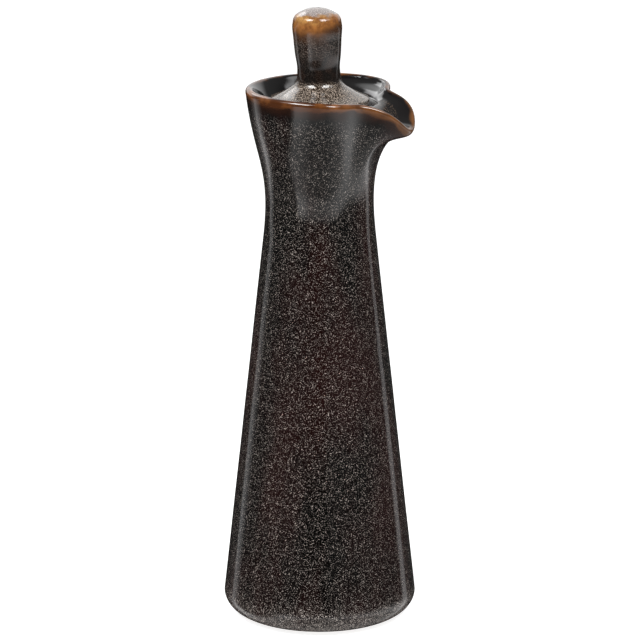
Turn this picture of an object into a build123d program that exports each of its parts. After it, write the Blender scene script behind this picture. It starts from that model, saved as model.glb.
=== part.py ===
"""Glazed stoneware sake bottle with a pinched pouring spout and a drop-in stopper.

Frame: millimetres, +Z up, origin on the bottle's axis at the level of the foot, +X towards the spout.
"""

import os
from math import cos, exp, hypot, pi, radians, sin

from build123d import *

# Body
BASE_R = 35.2  # widest radius, just above the foot
BASE_Z = 8.0  # height of the widest radius
FOOT_R = 25.4  # outer radius of the flat that the bottle stands on
FOOT_INNER_R = 20.5  # inner radius of the foot ring
FOOT_RECESS = 1.8
CONE_TOP_R = 20.4  # end of the straight cone, where the waist begins
CONE_TOP_Z = 142.0
WALL = 4.3
FLOOR_Z = 6.0  # inside floor
FLOOR_CORNER_R = 8.0
NECK_R = 14.5  # bore of the neck

# Mouth
LIP_R = 1.45  # half the thickness of the rounded rim
RIM_Z = 194.7  # centre height of the rim's round
RIM_BACK_R = 24.85  # centre radius of the rim's round at the back
RIM_STRETCH = 7.0  # how much further from the axis the rim stands at the front
SEAT_R = 20.8  # outer radius of the ledge that the stopper sits on
SEAT_Z = 190.0
SEAT_CHAMFER = 0.8

# Spout
TIP_REACH = 1.9  # how far the tip stands out past the rim's own oval
TIP_SPREAD = 34.0  # degrees
PINCH = 6.3  # how far the rim is pressed in on each side of the spout
PINCH_ANGLE = 36.5
PINCH_SPREAD = 15.8
TIP_DIP = 8.3  # drop of the rim at the tip
TIP_DIP_SPREAD = 17.2
SHOULDER_DIP = 4.0  # wider, gentler drop around the tip
SHOULDER_DIP_SPREAD = 48.0
BEAK_SPREAD = 25.4  # degrees over which the wall turns from flare to beak

# Wall directions and curve handles: (plain rim, middle of the spout)
OUTER_LEAN = (6.8, 30.0)  # degrees from upright, where the outside meets the rim
INNER_LEAN = (35.0, 95.0)  # degrees from upright, where the inside meets the rim
WAIST_HANDLE = (25.3, 44.8)
RIM_HANDLE = (24.3, 6.1)
SEAT_LEAN = (27.0, 143.0)  # degrees from upright, where the inside leaves the seat

# Stopper
KNOB_TOP_Z = 224.6
KNOB_R = 8.85  # widest, just under the knob's domed top
KNOB_WIDEST_Z = 217.8
KNOB_NECK_R = 7.45  # narrowest, where the knob meets the skirt
KNOB_NECK_Z = 201.6
SKIRT_R = 18.1
SKIRT_EDGE = 1.1  # radius of the skirt's rounded edge
STEM_R = 10.5
STEM_BOTTOM_Z = 168.0
FLANGE_R = 12.2
FLANGE_TOP_Z = 171.4

# Seal ring
RING_CLEARANCE = 0.05  # between the ring and the stem, and at each end
RING_TOP_Z = 187.0
RING_BODY_R = 12.7
RING_LIP_R = 14.42
RING_LIPS = 3
RING_LIP_HEIGHT = 2.2

# How finely the bottle's skin is divided: around it, and along each stretch of its outline
AROUND = 22  # per side, crowded towards the spout
CROWDING = 1.35
FOOT_STEPS, CONE_STEPS, FLARE_STEPS, LIP_STEPS, INNER_STEPS = 6, 16, 16, 6, 7
STEP_CROWDING = 1.6  # the steps shorten towards the foot, the rim and the seat


def bump(angle, spread):
    """A smooth hill of height 1 over the spout's direction."""
    return exp(-((angle / spread) ** 2))


def rim_centre(angle):
    """Radius and height of the centre of the rim's round, at an angle from the spout."""
    off = abs(angle)
    oval = RIM_BACK_R + RIM_STRETCH * (1 + cos(radians(off))) / 2
    radius = oval + TIP_REACH * bump(off, TIP_SPREAD) - PINCH * bump(off - PINCH_ANGLE, PINCH_SPREAD)
    dip = TIP_DIP * bump(off, TIP_DIP_SPREAD) + SHOULDER_DIP * bump(off, SHOULDER_DIP_SPREAD)
    return radius, RIM_Z - dip


def cubic(start, leave, arrive, end, t):
    """A point on a cubic curve with two handles."""
    weights = ((1 - t) ** 3, 3 * t * (1 - t) ** 2, 3 * t * t * (1 - t), t**3)
    points = (start, leave, arrive, end)
    return tuple(sum(w * p[i] for w, p in zip(weights, points)) for i in (0, 1))


def moved(point, lean, distance):
    """A point moved along a direction that leans outwards from upright, in degrees."""
    return point[0] + distance * sin(radians(lean)), point[1] + distance * cos(radians(lean))


def skin(angle):
    """The bottle's outline at an angle from the spout: foot, cone, flare, rim, then down to the seat."""
    spout = bump(angle, BEAK_SPREAD)

    def blend(pair):
        return pair[0] + (pair[1] - pair[0]) * spout

    centre = rim_centre(angle)
    outer_lean = blend(OUTER_LEAN)
    inner_lean = blend(INNER_LEAN)
    outline = []

    for i in range(FOOT_STEPS):
        turn = pi / 2 * i / FOOT_STEPS
        outline.append((FOOT_R + (BASE_R - FOOT_R) * sin(turn), BASE_Z * (1 - cos(turn))))

    for i in range(CONE_STEPS):
        t = (i / CONE_STEPS) ** STEP_CROWDING
        outline.append((BASE_R + (CONE_TOP_R - BASE_R) * t, BASE_Z + (CONE_TOP_Z - BASE_Z) * t))

    waist = (CONE_TOP_R, CONE_TOP_Z)
    cone_length = hypot(CONE_TOP_R - BASE_R, CONE_TOP_Z - BASE_Z)
    handle = blend(WAIST_HANDLE) / cone_length
    leave = (
        CONE_TOP_R + (CONE_TOP_R - BASE_R) * handle,
        CONE_TOP_Z + (CONE_TOP_Z - BASE_Z) * handle,
    )
    outer = moved(centre, outer_lean + 90, LIP_R)
    arrive = moved(outer, outer_lean, -blend(RIM_HANDLE))
    for i in range(FLARE_STEPS):
        t = 1 - (1 - i / FLARE_STEPS) ** STEP_CROWDING
        outline.append(cubic(waist, leave, arrive, outer, t))

    for i in range(LIP_STEPS):
        lean = outer_lean + 90 - (180 + outer_lean - inner_lean) * i / LIP_STEPS
        outline.append(moved(centre, lean, LIP_R))

    inner = moved(centre, inner_lean - 90, LIP_R)
    seat = (SEAT_R, SEAT_Z)
    reach = hypot(inner[0] - seat[0], inner[1] - seat[1])
    leave = moved(inner, inner_lean, -reach / 3)
    arrive = moved(seat, blend(SEAT_LEAN), 0.4 * reach)
    for i in range(INNER_STEPS):
        outline.append(cubic(inner, leave, arrive, seat, i / INNER_STEPS))
    return outline + [seat]


def ring(level):
    """One closed ring of the skin, through the same level of every outline: two mirrored halves."""
    trace = [outline[level] for outline in outlines]
    sides = []
    for side in (1, -1):
        points = [
            (r * cos(radians(a)), side * r * sin(radians(a)), z) for a, (r, z) in zip(angles, trace)
        ]
        ends = [(0, side * trace[0][0], 0), (0, -side * trace[-1][0], 0)]
        knots = [radians(a) for a in angles]
        sides.append(Edge.make_spline(points, tangents=ends, parameters=knots, scale=False))
    return Wire(sides)


angles = [180 * (i / AROUND) ** CROWDING for i in range(AROUND + 1)]
outlines = [skin(a) for a in angles]
body_skin = Solid.make_loft([ring(level) for level in range(len(outlines[0]))])

# Bottle: the skin filled solid, then hollowed by the cavity, the neck's bore and the foot's recess
with BuildPart() as bottle:
    add(body_skin)
    with BuildSketch(Plane.XZ):
        with BuildLine():
            taper = (BASE_R - CONE_TOP_R) / (CONE_TOP_Z - BASE_Z)
            floor_r = BASE_R - taper * (FLOOR_Z - BASE_Z) - WALL
            neck_z = FLOOR_Z + (floor_r - NECK_R) / taper
            outline = FilletPolyline(
                (0, FLOOR_Z),
                (floor_r, FLOOR_Z),
                (NECK_R, neck_z),
                (NECK_R, SEAT_Z - SEAT_CHAMFER),
                radius=[FLOOR_CORNER_R, 4 * FLOOR_CORNER_R],
            )
            Polyline(
                outline @ 1,
                (NECK_R + SEAT_CHAMFER, SEAT_Z),
                (NECK_R + SEAT_CHAMFER, SEAT_Z + SEAT_CHAMFER),
                (0, SEAT_Z + SEAT_CHAMFER),
                (0, FLOOR_Z),
            )
        make_face()
    revolve(axis=Axis.Z, mode=Mode.SUBTRACT)
    with BuildSketch(Plane.XZ):
        with BuildLine():
            Polyline(
                (0, 0),
                (FOOT_INNER_R, 0),
                (FOOT_INNER_R - FOOT_RECESS, FOOT_RECESS),
                (0, FOOT_RECESS),
                close=True,
            )
        make_face()
    revolve(axis=Axis.Z, mode=Mode.SUBTRACT)
bottle.part.label = "bottle"

# Stopper: knob, conical skirt, stem and the flange that keeps the ring on
with BuildPart() as stopper:
    with BuildSketch(Plane.XZ):
        with BuildLine():
            knob_and_skirt = Spline(
                (0, KNOB_TOP_Z),
                (5.4, KNOB_TOP_Z - 1.4),
                (7.8, KNOB_TOP_Z - 3.2),
                (KNOB_R, KNOB_WIDEST_Z),
                (8.3, 209.0),
                (KNOB_NECK_R, KNOB_NECK_Z),
                (8.6, 197.5),
                (12.1, 194.8),
                (SKIRT_R - SKIRT_EDGE / 2, SEAT_Z + 2 * SKIRT_EDGE),
                tangents=((1, 0), (1, -0.45)),
            )
            edge = ThreePointArc(
                knob_and_skirt @ 1,
                (SKIRT_R, SEAT_Z + SKIRT_EDGE),
                (SKIRT_R - SKIRT_EDGE, SEAT_Z),
            )
            Polyline(
                edge @ 1,
                (STEM_R, SEAT_Z),
                (STEM_R, FLANGE_TOP_Z),
                (FLANGE_R, FLANGE_TOP_Z),
                (FLANGE_R, STEM_BOTTOM_Z + 1),
                (FLANGE_R - 1, STEM_BOTTOM_Z),
                (0, STEM_BOTTOM_Z),
                (0, KNOB_TOP_Z),
            )
        make_face()
    revolve(axis=Axis.Z)
stopper.part.label = "stopper"

# Seal ring: a soft sleeve around the stem, with lips that close against the neck's bore
with BuildPart() as seal_ring:
    ring_bottom = FLANGE_TOP_Z + RING_CLEARANCE
    ring_height = RING_TOP_Z - ring_bottom
    with BuildSketch(Plane.XZ):
        inner_r = STEM_R + RING_CLEARANCE
        with Locations(((inner_r + RING_BODY_R) / 2, ring_bottom + ring_height / 2)):
            Rectangle(RING_BODY_R - inner_r, ring_height)
        for i in range(RING_LIPS):
            lip_z = ring_bottom + ring_height * (i + 0.5) / RING_LIPS
            with Locations((inner_r + (RING_LIP_R - inner_r) / 2, lip_z)):
                RectangleRounded(RING_LIP_R - inner_r, RING_LIP_HEIGHT, 0.6)
    revolve(axis=Axis.Z)
seal_ring.part.label = "seal_ring"

os.makedirs("parts", exist_ok=True)
export_step(bottle.part, "parts/bottle.step")
export_step(stopper.part, "parts/stopper.step")
export_step(seal_ring.part, "parts/seal_ring.step")
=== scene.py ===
"""A stoppered pouring bottle in glazed stoneware: bottle, drop-in knob stopper and soft seal ring."""

from math import cos, exp, hypot, pi, radians, sin, tan

import bmesh
import bpy
from mathutils import Matrix, Vector, noise


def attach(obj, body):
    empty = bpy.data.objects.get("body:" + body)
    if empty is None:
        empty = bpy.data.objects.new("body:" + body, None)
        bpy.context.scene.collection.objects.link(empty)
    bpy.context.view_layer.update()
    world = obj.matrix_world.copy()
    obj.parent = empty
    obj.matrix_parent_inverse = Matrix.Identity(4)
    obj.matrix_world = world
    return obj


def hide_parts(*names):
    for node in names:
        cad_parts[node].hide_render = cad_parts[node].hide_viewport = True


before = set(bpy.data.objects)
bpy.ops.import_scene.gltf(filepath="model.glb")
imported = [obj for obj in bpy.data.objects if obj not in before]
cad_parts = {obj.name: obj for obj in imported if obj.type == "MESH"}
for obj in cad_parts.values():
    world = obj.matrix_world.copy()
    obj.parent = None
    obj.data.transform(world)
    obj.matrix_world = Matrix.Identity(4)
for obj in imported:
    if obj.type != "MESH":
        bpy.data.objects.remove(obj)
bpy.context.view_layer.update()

MM = 0.001
scene = bpy.context.scene

# ---------------------------------------------------------------- the object's sizes, in mm and degrees

# Bottle: foot, straight cone, then a flare up to the mouth
BASE_R = 35.2
BASE_Z = 8.0
FOOT_R = 25.4
FOOT_INNER_R = 20.5
FOOT_RECESS = 1.8
FOOT_SOFTENING = 0.7
CONE_TOP_R = 20.4
CONE_TOP_Z = 142.0

# Rim: its round, its oval, and the seat under it
LIP_R = 1.45
RIM_Z = 194.7
RIM_BACK_R = 24.85
RIM_STRETCH = 7.0
SEAT_R = 20.8
SEAT_Z = 190.0
SEAT_CHAMFER = 0.8

# Spout: angles are measured around the axis, away from the spout's direction
TIP_REACH = 1.9
TIP_SPREAD = 34.0
PINCH = 6.3
PINCH_ANGLE = 36.5
PINCH_SPREAD = 15.8
TIP_DIP = 8.3
TIP_DIP_SPREAD = 17.2
SHOULDER_DIP = 4.0
SHOULDER_DIP_SPREAD = 48.0
BEAK_SPREAD = 25.4

# How far round the spout's own colour reaches
TINT_SPREAD = 1.5 * BEAK_SPREAD

# Leans and handles of the outline's curves, at the plain rim and at the spout
OUTER_LEAN = (6.8, 30.0)
INNER_LEAN = (35.0, 95.0)
WAIST_HANDLE = (25.3, 44.8)
RIM_HANDLE = (24.3, 6.1)
SEAT_LEAN = (27.0, 143.0)
INNER_HANDLE = 1 / 3
SEAT_HANDLE = 0.4

# Inside
WALL = 4.3
FLOOR_Z = 6.0
FLOOR_CORNER_R = 8.0
NECK_R = 14.5
NECK_BLEND_R = 32.0

# Stopper
KNOB_TOP_Z = 224.6
KNOB_R = 8.80
KNOB_NECK_R = 7.65
KNOB_NECK_Z = 202.2
KNOB_LEAN = 0.95
KNOB_LEAN_Z = 194.5
KNOB_LEAN_TURN = 200.7
SKIRT_R = 18.1
SKIRT_EDGE = 1.1
STEM_R = 10.5
STEM_BOTTOM_Z = 168.0
FLANGE_R = 12.2
FLANGE_TOP_Z = 171.4

# Hand work: how far the thrown walls wander inwards, and over what distance
WANDER = 0.10
WANDER_LENGTH = 26.0

# The finer ripple on it, then the middle, the swing and the most of the two together, as shares of WANDER
RIPPLE_SHARE = 0.35
RIPPLE_FINENESS = 2.7
WANDER_MIDDLE = 0.6
WANDER_SWING = 0.6
WANDER_MOST = 1.2

# ---------------------------------------------------------------- outlines


def bump(angle, spread):
    """A smooth hill of height 1 over the spout's direction."""
    return exp(-((angle / spread) ** 2))


def cubic(start, leave, arrive, end, t):
    """A point on a cubic curve with two handles."""
    weights = ((1 - t) ** 3, 3 * t * (1 - t) ** 2, 3 * t * t * (1 - t), t**3)
    points = (start, leave, arrive, end)
    return tuple(sum(w * p[i] for w, p in zip(weights, points)) for i in (0, 1))


def moved(point, lean, distance):
    """A point moved along a direction that leans outwards from upright, in degrees."""
    return point[0] + distance * sin(radians(lean)), point[1] + distance * cos(radians(lean))


def line(start, end, steps):
    """Points along a straight stretch, without its end."""
    return [tuple(a + (b - a) * i / steps for a, b in zip(start, end)) for i in range(steps)]


def rounded(before, corner, after, radius, steps):
    """Points round a corner with a fillet, its two tangent points included."""
    to_before = Vector(before) - Vector(corner)
    to_after = Vector(after) - Vector(corner)
    half = to_before.angle(to_after) / 2
    to_before.normalize()
    to_after.normalize()
    reach = radius / tan(half)
    centre = Vector(corner) + (to_before + to_after).normalized() * radius / sin(half)
    start = Vector(corner) + to_before * reach - centre
    end = Vector(corner) + to_after * reach - centre
    turn = start.angle_signed(end)
    points = []
    for i in range(steps + 1):
        arm = start.copy()
        arm.rotate(Matrix.Rotation(-turn * i / steps, 2))
        points.append(tuple(centre + arm))
    return points


def rim_centre(angle):
    """Radius and height of the centre of the rim's round, at an angle from the spout."""
    off = abs(angle)
    oval = RIM_BACK_R + RIM_STRETCH * (1 + cos(radians(off))) / 2
    radius = oval + TIP_REACH * bump(off, TIP_SPREAD) - PINCH * bump(off - PINCH_ANGLE, PINCH_SPREAD)
    dip = TIP_DIP * bump(off, TIP_DIP_SPREAD) + SHOULDER_DIP * bump(off, SHOULDER_DIP_SPREAD)
    return radius, RIM_Z - dip


# How many points each stretch of the outline has, and the power that crowds the flare's towards the rim
FOOT_STEPS = 14
CONE_STEPS = 56
FLARE_STEPS = 56
LIP_STEPS = 14
INNER_STEPS = 22
CROWDING = 1.3


def skin(angle):
    """The outside, from the foot up over the rim and down to the seat."""
    spout = bump(angle, BEAK_SPREAD)

    def blend(pair):
        return pair[0] + (pair[1] - pair[0]) * spout

    centre = rim_centre(angle)
    outer_lean = blend(OUTER_LEAN)
    inner_lean = blend(INNER_LEAN)
    outline = []

    for i in range(FOOT_STEPS):
        turn = pi / 2 * i / FOOT_STEPS
        outline.append((FOOT_R + (BASE_R - FOOT_R) * sin(turn), BASE_Z * (1 - cos(turn))))

    outline += line((BASE_R, BASE_Z), (CONE_TOP_R, CONE_TOP_Z), CONE_STEPS)

    waist = (CONE_TOP_R, CONE_TOP_Z)
    handle = blend(WAIST_HANDLE) / hypot(CONE_TOP_R - BASE_R, CONE_TOP_Z - BASE_Z)
    leave = (
        CONE_TOP_R + (CONE_TOP_R - BASE_R) * handle,
        CONE_TOP_Z + (CONE_TOP_Z - BASE_Z) * handle,
    )
    outer = moved(centre, outer_lean + 90, LIP_R)
    arrive = moved(outer, outer_lean, -blend(RIM_HANDLE))
    for i in range(FLARE_STEPS):
        t = 1 - (1 - i / FLARE_STEPS) ** CROWDING
        outline.append(cubic(waist, leave, arrive, outer, t))

    for i in range(LIP_STEPS):
        lean = outer_lean + 90 - (180 + outer_lean - inner_lean) * i / LIP_STEPS
        outline.append(moved(centre, lean, LIP_R))

    inner = moved(centre, inner_lean - 90, LIP_R)
    seat = (SEAT_R, SEAT_Z)
    reach = hypot(inner[0] - seat[0], inner[1] - seat[1])
    leave = moved(inner, inner_lean, -reach * INNER_HANDLE)
    arrive = moved(seat, blend(SEAT_LEAN), reach * SEAT_HANDLE)
    outline += [cubic(inner, leave, arrive, seat, i / INNER_STEPS) for i in range(INNER_STEPS)]
    return outline + [seat]


def cavity():
    """The inside below the seat, down to the middle of the floor."""
    taper = (BASE_R - CONE_TOP_R) / (CONE_TOP_Z - BASE_Z)
    floor_r = BASE_R - taper * (FLOOR_Z - BASE_Z) - WALL
    neck = (NECK_R, FLOOR_Z + (floor_r - NECK_R) / taper)
    corner = (floor_r, FLOOR_Z)
    ledge = (NECK_R + SEAT_CHAMFER, SEAT_Z)
    bore = (NECK_R, SEAT_Z - SEAT_CHAMFER)
    shoulder = rounded(bore, neck, corner, NECK_BLEND_R, 8)
    toe = rounded(neck, corner, (0, FLOOR_Z), FLOOR_CORNER_R, 12)
    outline = line((SEAT_R, SEAT_Z), ledge, 6)[1:] + line(ledge, bore, 2)
    outline += line(bore, shoulder[0], 10) + shoulder[:-1]
    outline += line(shoulder[-1], toe[0], 30) + toe[:-1]
    return outline + line(toe[-1], (0, FLOOR_Z), 8) + [(0, FLOOR_Z)]


# The innermost ring of points on the underside
FOOT_MIDDLE_R = 0.8


def foot():
    """The underside, from the middle of its recess out to the foot ring's edge."""
    inner = (FOOT_INNER_R - FOOT_RECESS, FOOT_RECESS)
    ring = (FOOT_INNER_R, 0)
    step = rounded((0, FOOT_RECESS), inner, ring, FOOT_SOFTENING, 4)
    edge = rounded(inner, ring, (FOOT_R, 0), FOOT_SOFTENING / 2, 4)
    outline = [(0, FOOT_RECESS)] + line((FOOT_MIDDLE_R, FOOT_RECESS), step[0], 12) + step
    return outline + edge + line(edge[-1], (FOOT_R, 0), 5)[1:]


# ---------------------------------------------------------------- meshes

BOTTLE_TURNS = 320
STOPPER_TURNS = 192


def lathe(name, trace, turns, wander=None, extra=None):
    """A closed mesh of revolution whose outline may change with the angle.

    The outline's first and last points are on the axis. Wander moves a point by hand, and extra gives
    each point named numbers for the materials.
    """
    extra = extra or {}
    mesh = bpy.data.meshes.new(name)
    bm = bmesh.new()
    layers = {key: bm.verts.layers.float.new(key) for key in extra}
    columns = []
    angles = [360 * j / turns for j in range(turns)]
    poles = {}
    for angle in angles:
        signed = angle if angle <= 180 else angle - 360
        outline = trace(signed)
        facts = {key: make(signed, outline) for key, make in extra.items()}
        column = []
        for i, (r, z) in enumerate(outline):
            if i in (0, len(outline) - 1):
                if i not in poles:
                    poles[i] = bm.verts.new((0, 0, z * MM))
                vert = poles[i]
            else:
                spot = Vector((r * cos(radians(angle)), r * sin(radians(angle)), z))
                if wander:
                    spot = wander(spot, i)
                vert = bm.verts.new(spot * MM)
            for key, layer in layers.items():
                vert[layer] = facts[key][i]
            column.append(vert)
        columns.append(column)
    for j, column in enumerate(columns):
        following = columns[(j + 1) % turns]
        for i in range(len(column) - 1):
            corners = [column[i], column[i + 1], following[i + 1], following[i]]
            unique = list(dict.fromkeys(corners))
            if len(unique) > 2:
                bm.faces.new(unique)
    bmesh.ops.recalc_face_normals(bm, faces=bm.faces)
    for face in bm.faces:
        face.smooth = True
    bm.to_mesh(mesh)
    bm.free()
    piece = bpy.data.objects.new(name, mesh)
    scene.collection.objects.link(piece)
    return piece


UNDER = foot()
INSIDE = cavity()
SKIN_START = len(UNDER)
SKIN_END = SKIN_START + FOOT_STEPS + CONE_STEPS + FLARE_STEPS
LIP_TOP = SKIN_END + LIP_STEPS // 2


def bottle_outline(angle):
    """The whole closed outline: underside, outside, rim, inside."""
    return UNDER + skin(angle) + INSIDE


def run_from_rim(angle, outline):
    """Distance along the outline from the crest of the rim, in mm: positive outside, negative inside."""
    run = [0.0] * len(outline)
    for i in range(LIP_TOP - 1, -1, -1):
        run[i] = run[i + 1] + hypot(outline[i][0] - outline[i + 1][0], outline[i][1] - outline[i + 1][1])
    for i in range(LIP_TOP + 1, len(outline)):
        run[i] = run[i - 1] - hypot(outline[i][0] - outline[i - 1][0], outline[i][1] - outline[i - 1][1])
    return run


def spout_share(angle, outline):
    """How much a point belongs to the spout."""
    return [bump(angle, TINT_SPREAD)] * len(outline)


def thrown(spot, level):
    """A thrown wall wanders inwards by a hair, more so away from the foot and the rim."""
    if not SKIN_START < level < SKIN_END:
        return spot
    share = sin(pi * (level - SKIN_START) / (SKIN_END - SKIN_START)) ** 0.5
    wave = noise.noise(spot / WANDER_LENGTH)
    wave += RIPPLE_SHARE * noise.noise(spot * RIPPLE_FINENESS / WANDER_LENGTH)
    inwards = WANDER * share * min(max(WANDER_MIDDLE + WANDER_SWING * wave, 0), WANDER_MOST)
    r = hypot(spot.x, spot.y)
    return Vector((spot.x * (1 - inwards / r), spot.y * (1 - inwards / r), spot.z))


bottle = lathe(
    "bottle_shell",
    bottle_outline,
    BOTTLE_TURNS,
    thrown,
    {"rim_run": run_from_rim, "spout": spout_share},
)


def natural_curve(points, start_slope, end_slope, steps):
    """A smooth outline through a few points: cubic pieces that share their directions."""
    spots = [Vector(p) for p in points]
    ways = [Vector(start_slope).normalized()]
    for a, b, c in zip(spots, spots[1:], spots[2:]):
        before = b - a
        after = c - b
        weight = before.length / (before.length + after.length)
        ways.append((before.normalized() * (1 - weight) + after.normalized() * weight).normalized())
    ways.append(Vector(end_slope).normalized())
    outline = []
    for a, b, way_a, way_b in zip(spots, spots[1:], ways, ways[1:]):
        third = (b - a).length / 3
        for i in range(steps):
            outline.append(cubic(a, a + way_a * third, b - way_b * third, b, i / steps))
    return outline


# Points down the knob and over the skirt, as radius and height, then the skirt's slope and its rounded edge
KNOB_POINTS = [
    (0, KNOB_TOP_Z),
    (5.6, KNOB_TOP_Z - 1.3),
    (8.1, KNOB_TOP_Z - 3.1),
    (KNOB_R, 219.0),
    (8.6, 213.5),
    (8.25, 208.5),
    (KNOB_NECK_R, KNOB_NECK_Z),
    (8.6, 197.5),
    (12.1, 194.8),
    (SKIRT_R - SKIRT_EDGE / 2, SEAT_Z + 2 * SKIRT_EDGE),
]
KNOB_TOP_SLOPE = (1, 0)
SKIRT_SLOPE = (1, -0.45)
EDGE_TOP_HANDLE = (SKIRT_R, SEAT_Z + 1.9)
EDGE_LOW_HANDLE = (SKIRT_R + 0.15, SEAT_Z + 0.2)

# Stem and flange: where the straight stretches end and how round the corners are
STEM_SOFTENING = 0.5
STEM_END_Z = FLANGE_TOP_Z + 0.3
FLANGE_ROOT_R = 0.25
FLANGE_TOP_SOFTENING = 0.4
FLANGE_LOW_SOFTENING = 1.2
FLANGE_FACE_R = FLANGE_R - 1.6
KNOB_STEPS = 12
EDGE_STEPS = 10


def stopper_outline(angle):
    """Knob, skirt, its rounded edge, then the stem and the flange."""
    outline = natural_curve(KNOB_POINTS, KNOB_TOP_SLOPE, SKIRT_SLOPE, KNOB_STEPS)
    edge_end = (SKIRT_R - SKIRT_EDGE, SEAT_Z)
    for i in range(EDGE_STEPS):
        t = i / EDGE_STEPS
        outline.append(cubic(KNOB_POINTS[-1], EDGE_TOP_HANDLE, EDGE_LOW_HANDLE, edge_end, t))
    outline += line(edge_end, (STEM_R + STEM_SOFTENING, SEAT_Z), 8)

    stem_top = (STEM_R, SEAT_Z - STEM_SOFTENING)
    stem_foot = (STEM_R, FLANGE_TOP_Z)
    flange_top = (FLANGE_R, FLANGE_TOP_Z)
    flange_low = (FLANGE_R, STEM_BOTTOM_Z)
    middle = (0, STEM_BOTTOM_Z)
    outline += line(stem_top, (STEM_R, STEM_END_Z), 12)
    outline += rounded((STEM_R, SEAT_Z), stem_foot, flange_top, FLANGE_ROOT_R, 3)
    outline += rounded(stem_foot, flange_top, flange_low, FLANGE_TOP_SOFTENING, 5)
    outline += rounded(flange_top, flange_low, middle, FLANGE_LOW_SOFTENING, 6)
    return outline + line((FLANGE_FACE_R, STEM_BOTTOM_Z), middle, 8) + [middle]


def leaning(spot, level):
    """The knob was pulled by hand and leans a little away from the spout."""
    share = sin(pi / 2 * min(max((spot.z - KNOB_LEAN_Z) / (KNOB_TOP_Z - KNOB_LEAN_Z), 0), 1))
    turn = radians(KNOB_LEAN_TURN)
    return spot + Vector((cos(turn), sin(turn), 0)) * KNOB_LEAN * share


stopper = lathe("stopper_body", stopper_outline, STOPPER_TURNS, leaning)

# ---------------------------------------------------------------- node helpers


class Shader:
    """Builds one material's node tree, with short names for the nodes that repeat."""

    def __init__(self, name):
        self.material = bpy.data.materials.new(name)
        self.material.use_nodes = True
        self.tree = self.material.node_tree
        self.tree.nodes.clear()
        self.place = self.node("ShaderNodeTexCoord").outputs["Object"]
        axes = self.node("ShaderNodeSeparateXYZ")
        self.link(self.place, axes.inputs[0])
        self.x, self.y, self.z = axes.outputs

    def node(self, kind, **settings):
        made = self.tree.nodes.new(kind)
        for key, value in settings.items():
            setattr(made, key, value)
        return made

    def link(self, source, socket):
        """Feeds a socket from another socket, or gives it a plain value."""
        if isinstance(source, bpy.types.NodeSocket):
            self.tree.links.new(source, socket)
        else:
            socket.default_value = source

    def maths(self, operation, a, b=0.0):
        made = self.node("ShaderNodeMath", operation=operation)
        self.link(a, made.inputs[0])
        self.link(b, made.inputs[1])
        return made.outputs[0]

    def step(self, value, low, high, start=0.0, end=1.0):
        """Rises smoothly from start to end as value goes from low to high."""
        made = self.node("ShaderNodeMapRange", interpolation_type="SMOOTHSTEP")
        for socket, source in zip(made.inputs, (value, low, high, start, end)):
            self.link(source, socket)
        return made.outputs[0]

    def mix(self, share, a, b):
        """The colour a where share is 0, and b where it is 1."""
        made = self.node("ShaderNodeMix", data_type="RGBA")
        self.link(share, made.inputs["Factor"])
        self.link(a, made.inputs[6])
        self.link(b, made.inputs[7])
        return made.outputs[2]

    def noise(self, size_mm, detail=2.0, rough=0.5, where=None, shift=0.0):
        """Clouds of about a size; shift picks another pattern of the same kind."""
        made = self.node("ShaderNodeTexNoise", noise_dimensions="4D")
        self.link(where or self.place, made.inputs["Vector"])
        made.inputs["W"].default_value = shift
        made.inputs["Scale"].default_value = 1 / (size_mm * MM)
        made.inputs["Detail"].default_value = detail
        made.inputs["Roughness"].default_value = rough
        return made.outputs["Fac"]

    def attribute(self, name):
        return self.node("ShaderNodeAttribute", attribute_name=name).outputs["Fac"]

    def finish(self, colour, roughness, height, bump_mm, strength=1.0, **plain):
        """The surface and its relief; plain gives further inputs of the surface by name."""
        surface = self.node("ShaderNodeBsdfPrincipled")
        self.link(colour, surface.inputs["Base Color"])
        self.link(roughness, surface.inputs["Roughness"])
        for key, value in plain.items():
            surface.inputs[key.replace("_", " ")].default_value = value
        relief = self.node("ShaderNodeBump")
        relief.inputs["Strength"].default_value = strength
        relief.inputs["Distance"].default_value = bump_mm * MM
        self.link(height, relief.inputs["Height"])
        self.link(relief.outputs[0], surface.inputs["Normal"])
        out = self.node("ShaderNodeOutputMaterial")
        self.link(surface.outputs[0], out.inputs["Surface"])
        return self.material


# ---------------------------------------------------------------- glazes

# A colour is linear red, green, blue and alpha. A pair says where a band starts and where it is full.

# Both glazes: depth of the relief in mm
GLAZE_RELIEF = 0.04
GLAZE_IOR = 1.5

# Flecks: grains, and threads along the ridges of a swirl that keep close to the grains
THREAD_SIZE = 1.5
THREAD_SHIFT = 20
THREAD_EDGE = (0.035, 0.008)
THREAD_NEAR_GRAIN = (0.05, 0.35)
THREAD_STRENGTH = 0.75

# Bottle: a black ground with tall maroon patches, under flecks that crowd together at the foot
BLACK = (0.0008, 0.0007, 0.0006, 1)
MAROON = (0.0085, 0.0020, 0.0017, 1)
DIM_FLECK = (0.165, 0.138, 0.122, 1)
PALE_FLECK = (0.48, 0.425, 0.385, 1)
PATCH_WIDTH = 20
PATCH_SHARE = (0.40, 0.64)
PATCH_UPRIGHT = 0.3
FLECK_SIZE = 0.35
FLECK_LOW = 0.548
FLECK_HIGH = 0.74
FOOT_CROWD = 0.075
FOOT_CROWD_Z = (16.0, 2.0)
BOTTLE_ROUGH = (0.07, 0.16)
BOTTLE_FLECK_RELIEF = 0.12

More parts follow.
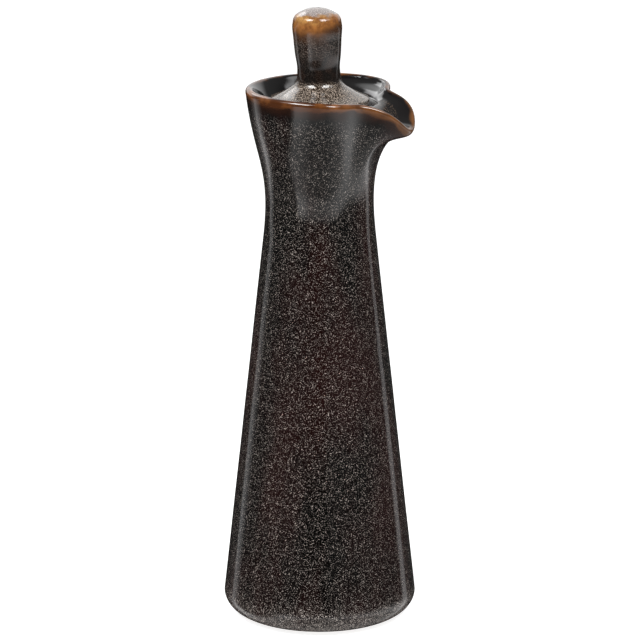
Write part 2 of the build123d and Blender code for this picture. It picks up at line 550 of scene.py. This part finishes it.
# Rim: distances in mm from its crest, and how far they wander
RUST_DARK = (0.050, 0.015, 0.004, 1)
RUST_BRIGHT = (0.17, 0.060, 0.016, 1)
SPOUT_RUST = (0.088, 0.038, 0.013, 1)
SPOUT_RUST_SHARE = 0.7
RIM_BROWN = (0.016, 0.005, 0.002, 1)
MOUTH_BLACK = (0.0040, 0.0032, 0.0032, 1)
RIM_WANDER = 0.8
FLECK_BAND = (4.5, 11.0)
BROWN_BAND = (7.0, 2.6)
RUST_BAND = (3.7, 1.9)
OUTSIDE_BAND = (-1.9, 0.1)

# Seat in the mouth, and the bare clay of the foot ring
SEAT_FLECK = (0.16, 0.11, 0.075, 1)
SEAT_BAND = (-6.0, -7.0)
SEAT_BAND_Z = (SEAT_Z + 1.8, SEAT_Z)
CLAY_DARK = (0.10, 0.066, 0.045, 1)
CLAY_PALE = (0.20, 0.14, 0.10, 1)
CLAY_Z = (0.9, 0.5)
CLAY_WANDER = 0.3
CLAY_ROUGH = 0.75

# Stopper: a flecked skirt and shank, then brown, amber, gold and silver up the knob
SHANK_BLACK = (0.004, 0.003, 0.0025, 1)
SHANK_BROWN = (0.014, 0.007, 0.0045, 1)
SHANK_FLECK = (0.16, 0.13, 0.11, 1)
SKIRT_GROUND = (0.014, 0.008, 0.004, 1)
SKIRT_FLECK = (0.32, 0.26, 0.21, 1)
KNOB_BROWN = (0.058, 0.024, 0.010, 1)
AMBER_DARK = (0.13, 0.048, 0.014, 1)
AMBER_BRIGHT = (0.25, 0.098, 0.026, 1)
GOLD_DARK = (0.17, 0.068, 0.020, 1)
GOLD_BRIGHT = (0.38, 0.205, 0.062, 1)
GOLD_SPECK = (0.12, 0.048, 0.018, 1)
SILVER_DARK = (0.17, 0.145, 0.135, 1)
SILVER_BRIGHT = (0.42, 0.37, 0.35, 1)
STOPPER_FLECK_SIZE = 0.40
STOPPER_FLECK_LOW = 0.47
STOPPER_FLECK_HIGH = 0.66
SKIRT_Z = (199.4, 197.2)
SHANK_Z = (203.0, 213.0)
BROWN_Z = (211.0, 216.8)
AMBER_Z = (214.6, 219.0)
GOLD_Z = (218.6, 222.0)
SILVER_Z = (222.2, 223.2)
BAND_WANDER = 0.5
SHANK_FLECKS = (0.12, 0.60)
STOPPER_ROUGH = (0.08, 0.18)
STOPPER_FLECK_RELIEF = 0.15

# Across the knob, from the camera's left to its right: more of the shank's flecks on the left are painted
# light, and the colours lying higher on the right are painted shade
PAINTED_LIGHT_SIDE_FLECKS = (1.5, 0.9)
PAINTED_LIGHT_SIDE_X = (-6.0, 2.0)
PAINTED_SHADE_SIDE_RISE = 3.2
PAINTED_SHADE_SIDE_X = (-2.0, 7.0)

# Seal ring
SILICONE_DARK = (0.46, 0.45, 0.42, 1)
SILICONE_PALE = (0.58, 0.57, 0.54, 1)
SILICONE_ROUGH = (0.42, 0.58)
SILICONE_RELIEF = 0.01
SILICONE_IOR = 1.42


def metres(pair):
    """Two lengths in mm, in the metres of the object's coordinates."""
    return pair[0] * MM, pair[1] * MM


def flecks(s, size_mm, low, high, shift=0.0):
    """Pale crystals in the glaze, from 0 to 1: crooked flecks, with a few drawn out into threads."""
    grains = s.step(s.noise(size_mm, detail=1.6, rough=0.55, shift=shift), low, high)
    swirl = s.noise(THREAD_SIZE * size_mm, detail=1.0, shift=shift + THREAD_SHIFT)
    off_ridge = s.maths("ABSOLUTE", s.maths("SUBTRACT", swirl, 0.5))
    threads = s.maths("MULTIPLY", s.step(off_ridge, *THREAD_EDGE), s.step(grains, *THREAD_NEAR_GRAIN))
    return s.maths("MAXIMUM", grains, s.maths("MULTIPLY", threads, THREAD_STRENGTH))


def bottle_glaze():
    """Black and maroon under pale flecks, rusty at the rim, dark in the mouth, with a bare foot ring."""
    s = Shader("bottle_glaze")
    run = s.attribute("rim_run")
    spout = s.attribute("spout")

    upright = s.node("ShaderNodeMapping")
    upright.inputs["Scale"].default_value = (1, 1, PATCH_UPRIGHT)
    s.link(s.place, upright.inputs["Vector"])
    patches = s.noise(PATCH_WIDTH, detail=3.0, rough=0.55, where=upright.outputs[0], shift=3.0)
    ground = s.mix(s.step(patches, *PATCH_SHARE), BLACK, MAROON)

    crowd = s.step(s.z, *metres(FOOT_CROWD_Z), 0.0, FOOT_CROWD)
    low = s.maths("SUBTRACT", FLECK_LOW, crowd)
    speck = flecks(s, FLECK_SIZE, low, s.maths("SUBTRACT", FLECK_HIGH, crowd))
    tone = s.noise(1.6, detail=2.0, shift=8.0)
    fleck_colour = s.mix(s.step(tone, 0.3, 0.7), DIM_FLECK, PALE_FLECK)

    # The glaze runs thin and rusty over the rim, then brown, and the flecks set in below that
    ragged = s.noise(6, detail=3.0, shift=5.0)
    edge = s.maths("ADD", run, s.step(ragged, 0.3, 0.7, -RIM_WANDER, RIM_WANDER))
    body = s.mix(s.maths("MULTIPLY", speck, s.step(edge, *FLECK_BAND)), ground, fleck_colour)
    rust = s.mix(s.step(ragged, 0.35, 0.65), RUST_DARK, RUST_BRIGHT)
    rust = s.mix(s.maths("MULTIPLY", spout, SPOUT_RUST_SHARE), rust, SPOUT_RUST)
    brown = s.mix(s.step(edge, *BROWN_BAND), body, RIM_BROWN)
    outer_band = s.mix(s.step(edge, *RUST_BAND), brown, rust)
    colour = s.mix(s.step(edge, *OUTSIDE_BAND), MOUTH_BLACK, outer_band)

    # Inside: dark, clean walls and a flecked seat
    seat = s.maths("MULTIPLY", s.step(run, *SEAT_BAND), s.step(s.z, *metres(SEAT_BAND_Z)))
    colour = s.mix(s.maths("MULTIPLY", seat, speck), colour, SEAT_FLECK)

    # The foot ring is bare clay
    wander = s.step(ragged, 0.3, 0.7, -CLAY_WANDER * MM, CLAY_WANDER * MM)
    bare = s.step(s.maths("ADD", s.z, wander), *metres(CLAY_Z))
    clay = s.mix(s.noise(0.8, detail=4.0, rough=0.7, shift=2.0), CLAY_DARK, CLAY_PALE)
    colour = s.mix(bare, colour, clay)

    rough = s.step(speck, 0.0, 1.0, *BOTTLE_ROUGH)
    rough = s.step(bare, 0.0, 1.0, rough, CLAY_ROUGH)
    raised = s.maths("MULTIPLY", speck, BOTTLE_FLECK_RELIEF)
    height = s.maths("ADD", raised, s.noise(3.5, detail=2.0, shift=1.0))
    return s.finish(colour, rough, height, GLAZE_RELIEF, strength=0.5, IOR=GLAZE_IOR)


def stopper_glaze():
    """Brown-black and flecked, with amber, gold and silver on the knob."""
    s = Shader("stopper_glaze")
    speck = flecks(s, STOPPER_FLECK_SIZE, STOPPER_FLECK_LOW, STOPPER_FLECK_HIGH, shift=4.0)
    ground = s.mix(s.step(s.noise(6, detail=3.0, shift=2.0), 0.4, 0.6), SHANK_BLACK, SHANK_BROWN)

    # Height in mm, with a ragged edge
    up = s.maths("MULTIPLY", s.z, 1 / MM)
    ragged = s.noise(3, detail=3.0, shift=6.0)
    level = s.maths("ADD", up, s.step(ragged, 0.3, 0.7, -BAND_WANDER, BAND_WANDER))

    # Across the knob, in metres, towards the camera's right, which is away from its lean: that side has
    # fewer flecks and its colours lie higher, painted shade, while the left side's extra flecks are painted
    # light
    away = radians(KNOB_LEAN_TURN - 180)
    turned = s.maths("MULTIPLY", s.y, sin(away))
    across = s.maths("ADD", s.maths("MULTIPLY", s.x, cos(away)), turned)

    # Shank: few flecks near the skirt, more towards the knob
    thick = s.step(level, *SHANK_Z, *SHANK_FLECKS)
    # More flecks on the camera's left side of the shank: painted light
    thick = s.maths("MULTIPLY", thick, s.step(across, *metres(PAINTED_LIGHT_SIDE_X), *PAINTED_LIGHT_SIDE_FLECKS))
    fine = s.mix(s.maths("MULTIPLY", speck, thick), ground, SHANK_FLECK)

    # Skirt: thickly flecked
    colour = s.mix(s.step(level, *SKIRT_Z), fine, s.mix(speck, SKIRT_GROUND, SKIRT_FLECK))

    # Knob: brown up to amber, and gold with darker veins on its shoulder
    # The colours lie higher on the camera's right side of the knob, so that side stays darker: painted
    # shade
    tide = s.maths("SUBTRACT", level, s.step(across, *metres(PAINTED_SHADE_SIDE_X), 0.0, PAINTED_SHADE_SIDE_RISE))
    cloud = s.step(s.noise(2.6, detail=4.0, rough=0.65, shift=9.0), 0.36, 0.62)
    brown = s.mix(s.step(tide, *BROWN_Z), colour, KNOB_BROWN)
    amber = s.mix(s.step(tide, *AMBER_Z), brown, s.mix(cloud, AMBER_DARK, AMBER_BRIGHT))
    veined = s.mix(cloud, GOLD_DARK, GOLD_BRIGHT)
    veined = s.mix(s.maths("MULTIPLY", speck, 0.5), veined, GOLD_SPECK)
    gold = s.mix(s.step(tide, *GOLD_Z), amber, veined)

    # Top: silvery crystals
    silver = s.mix(speck, SILVER_DARK, SILVER_BRIGHT)
    colour = s.mix(s.step(level, *SILVER_Z), gold, silver)
    rough = s.step(speck, 0.0, 1.0, *STOPPER_ROUGH)
    raised = s.maths("MULTIPLY", speck, STOPPER_FLECK_RELIEF)
    height = s.maths("ADD", raised, s.noise(3.0, detail=2.0, shift=1.0))
    return s.finish(colour, rough, height, GLAZE_RELIEF, strength=0.5, IOR=GLAZE_IOR)


def silicone():
    """Pale, faintly cloudy rubber."""
    s = Shader("seal_silicone")
    colour = s.mix(s.noise(4, detail=3.0), SILICONE_DARK, SILICONE_PALE)
    rough = s.step(s.noise(0.6, detail=3.0, shift=2.0), 0.2, 0.8, *SILICONE_ROUGH)
    height = s.noise(0.5, detail=3.0, shift=4.0)
    return s.finish(colour, rough, height, SILICONE_RELIEF, strength=0.6, IOR=SILICONE_IOR)


bottle.data.materials.append(bottle_glaze())
stopper.data.materials.append(stopper_glaze())
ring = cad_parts["seal_ring"]
seal = silicone()
for place in ring.material_slots:
    place.material = seal

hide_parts("bottle")
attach(bottle, "bottle")
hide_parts("stopper")
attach(stopper, "stopper")

# ---------------------------------------------------------------- floor and camera

FLOOR_SIZE = 8.0
FLOOR_GLOW = 0.86
FLOOR_DARK = (0.46, 0.46, 0.46, 1)
FLOOR_PALE = (0.50, 0.50, 0.50, 1)
FLOOR_ROUGH = 0.7
FLOOR_RELIEF = 0.02

floor_mesh = bpy.data.meshes.new("floor")
bm = bmesh.new()
bmesh.ops.create_grid(bm, x_segments=4, y_segments=4, size=FLOOR_SIZE / 2)
bm.to_mesh(floor_mesh)
bm.free()
floor = bpy.data.objects.new("floor", floor_mesh)
scene.collection.objects.link(floor)
paper = Shader("pale_floor")
grain = paper.noise(3.0, detail=3.0)
shade = paper.mix(grain, FLOOR_DARK, FLOOR_PALE)
glow = {"Emission_Color": (1, 1, 1, 1), "Emission_Strength": FLOOR_GLOW}
floor_mesh.materials.append(paper.finish(shade, FLOOR_ROUGH, grain, FLOOR_RELIEF, **glow))
floor.visible_glossy = False
floor.visible_shadow = False

# Camera: its turn is in degrees, towards the spout from square to it; then metres, and the lens in mm
VIEW_TURN = 20.7
VIEW_DISTANCE = 1.300
VIEW_HEIGHT = 0.4416
AIM_HEIGHT = 0.110
SENSOR_WIDTH = 36
LENS = 207.8
LENS_SHIFT = 0.0005


def view_way(turn, rise=0.0):
    """The direction from the object to a place: turn is to the right of the camera, rise is above level."""
    a = radians(VIEW_TURN + turn)
    e = radians(rise)
    return Vector((sin(a) * cos(e), -cos(a) * cos(e), sin(e)))


aim = Vector((0, 0, AIM_HEIGHT))
camera_data = bpy.data.cameras.new("camera")
camera = bpy.data.objects.new("camera", camera_data)
scene.collection.objects.link(camera)
scene.camera = camera
camera_data.sensor_width = SENSOR_WIDTH
camera_data.lens = LENS
camera_data.shift_x = LENS_SHIFT
camera_data.clip_start = 0.05
camera_data.clip_end = 20
camera.location = view_way(0) * VIEW_DISTANCE + Vector((0, 0, VIEW_HEIGHT))
camera.rotation_euler = (aim - camera.location).to_track_quat("-Z", "Y").to_euler()

# ---------------------------------------------------------------- light

LAMP_RISE = 52
LAMP_DISTANCE = 1.2
LAMP_SIZE = 0.5


def lamp(name, turn, power):
    """A soft square light over the object, turned to the right of the camera."""
    data = bpy.data.lights.new(name, "AREA")
    data.size = LAMP_SIZE
    data.energy = power
    made = bpy.data.objects.new(name, data)
    scene.collection.objects.link(made)
    way = view_way(turn, LAMP_RISE)
    made.location = aim + way * LAMP_DISTANCE
    made.rotation_euler = (-way).to_track_quat("-Z", "Y").to_euler()
    made.visible_camera = False


lamp("key_left", turn=-47, power=14)
lamp("key_right", turn=39, power=12)


class Sky:
    """The studio around the object, as a pattern over directions."""

    def __init__(self):
        self.world = bpy.data.worlds.new("studio")
        self.world.use_nodes = True
        self.tree = self.world.node_tree
        self.tree.nodes.clear()
        self.way = self.node("ShaderNodeTexCoord").outputs["Generated"]

    # The same short names as for a material's nodes
    node = Shader.node
    link = Shader.link
    maths = Shader.maths
    step = Shader.step

    def along(self, turn):
        """How much a direction points towards a turn to the right of the camera."""
        made = self.node("ShaderNodeVectorMath", operation="DOT_PRODUCT")
        self.link(self.way, made.inputs[0])
        made.inputs[1].default_value = view_way(turn)
        return made.outputs["Value"]

    def both(self, a, b):
        return self.maths("MULTIPLY", a, b)

    def most(self, a, b):
        return self.maths("MAXIMUM", a, b)

    def plus(self, a, b):
        return self.maths("ADD", a, b)

    def band(self, value, start, full, fade, end):
        """1 from full to fade, falling smoothly to 0 at start and at end."""
        return self.both(self.step(value, start, full), self.step(value, end, fade))


# How bright each part of the studio is in a reflection; white is 1
TABLE_NEAR = 0.45
TABLE_RIGHT = (0.85, 1.6)
TABLE_LEFT = 1.2
TABLE_DARK_SIDE = 0.05
UPPER = (0.05, 0.32)
BACKDROP = 1.5
STRIP = 0.95
WINDOW = 4.5
RIM_LIGHT = 3.6
ROOM_RIGHT = 0.10
ROOM_LEFT = 0.08
ROOM_MIDDLE = 0.01
ROOM_BEHIND = 0.42
SOFT = 0.12

# The strips lean by this much, and stand upright below this rise
STRIP_LEAN = 1.5
STRIP_UPRIGHT_BELOW = -0.19

sky = Sky()
axes = sky.node("ShaderNodeSeparateXYZ")
sky.link(sky.way, axes.inputs[0])
rise = axes.outputs[2]
front = sky.along(0)
right = sky.along(90)

# The edges below are parts of a direction, from -1 to 1: up, towards the camera, and to its right

# The table in front and to the right, a brighter patch to the left with a dark side past it
table = sky.both(sky.step(rise, -0.20, -0.34), sky.step(rise, -0.66, -0.44, TABLE_NEAR, 1.0))
table_right = sky.step(right, 0.1, 0.8, *TABLE_RIGHT)
patch = sky.both(sky.step(right, -0.76, -0.68), sky.step(right, -0.30, -0.66, 0.0, TABLE_LEFT))
lit_side = sky.both(sky.step(right, -0.78, -0.68, TABLE_DARK_SIDE, 1.0), sky.plus(table_right, patch))
table = sky.both(table, sky.both(lit_side, sky.step(front, -0.85, -0.3)))

# The upper room, and a bright backdrop far behind
upper = sky.both(sky.step(rise, 0.05, 0.35), sky.step(front, 0.25, -0.25, *UPPER))
backdrop = sky.both(sky.step(rise, -0.04, 0.10), sky.step(front, -0.45, -0.75, 0.0, BACKDROP))
backdrop = sky.most(upper, backdrop)

# Two leaning strips of light behind the object: broad and soft-edged on the left, thin on the right
held = sky.most(rise, STRIP_UPRIGHT_BELOW)
lean = sky.maths("SUBTRACT", front, sky.both(held, STRIP_LEAN))
strip_left = sky.both(sky.step(lean, -0.37, -0.32), sky.step(lean, -0.06, -0.32, 0.0, STRIP))
strip_left = sky.both(strip_left, sky.step(right, -0.3, -0.5))

# The right strip's near edge leans less, so that strip widens downwards
near_edge = sky.step(sky.maths("SUBTRACT", front, held), -0.25, -0.31, 0.0, STRIP)
strip_right = sky.both(sky.step(lean, -0.36, -0.31), sky.both(near_edge, sky.step(right, 0.3, 0.5)))
strips = sky.both(sky.step(rise, 0.15, 0.0), sky.plus(strip_left, strip_right))

# Two windows high on either side in front, which glance off the inside of the mouth
sideways = sky.maths("ABSOLUTE", right)
windows = sky.both(sky.band(sideways, 0.46, 0.52, 0.74, 0.80), sky.band(rise, 0.54, 0.60, 0.80, 0.84))
windows = sky.both(windows, sky.step(front, 0.0, 0.12, 0.0, WINDOW))

# A light high behind on the left, for the glint on the rim
rim_light = sky.both(sky.band(right, -0.22, -0.32, -0.56, -0.66), sky.band(rise, 0.32, 0.42, 0.66, 0.74))
rim_light = sky.both(rim_light, sky.step(front, -0.35, -0.45, 0.0, RIM_LIGHT))

# The rest of the room: dim, darkest in the middle and behind
room = sky.most(
    sky.step(right, 0.12, 0.24, ROOM_MIDDLE, ROOM_RIGHT),
    sky.step(right, -0.10, -0.55, ROOM_MIDDLE, ROOM_LEFT),
)
room = sky.both(room, sky.step(front, -0.5, 0.1, ROOM_BEHIND, 1.0))
room = sky.plus(room, sky.plus(windows, rim_light))
reflected = sky.plus(sky.plus(table, backdrop), sky.plus(strips, room))

# White to the camera, the studio to reflections, and a soft even light to the rest
rays = sky.node("ShaderNodeLightPath")
glossy = rays.outputs["Is Glossy Ray"]
seen = sky.both(glossy, reflected)
soft = sky.both(sky.maths("SUBTRACT", 1.0, glossy), SOFT)
shown = sky.most(sky.plus(seen, soft), rays.outputs["Is Camera Ray"])
air = sky.node("ShaderNodeBackground")
sky.link(shown, air.inputs["Strength"])
out = sky.node("ShaderNodeOutputWorld")
sky.link(air.outputs[0], out.inputs["Surface"])
scene.world = sky.world

scene.view_settings.view_transform = "Standard"
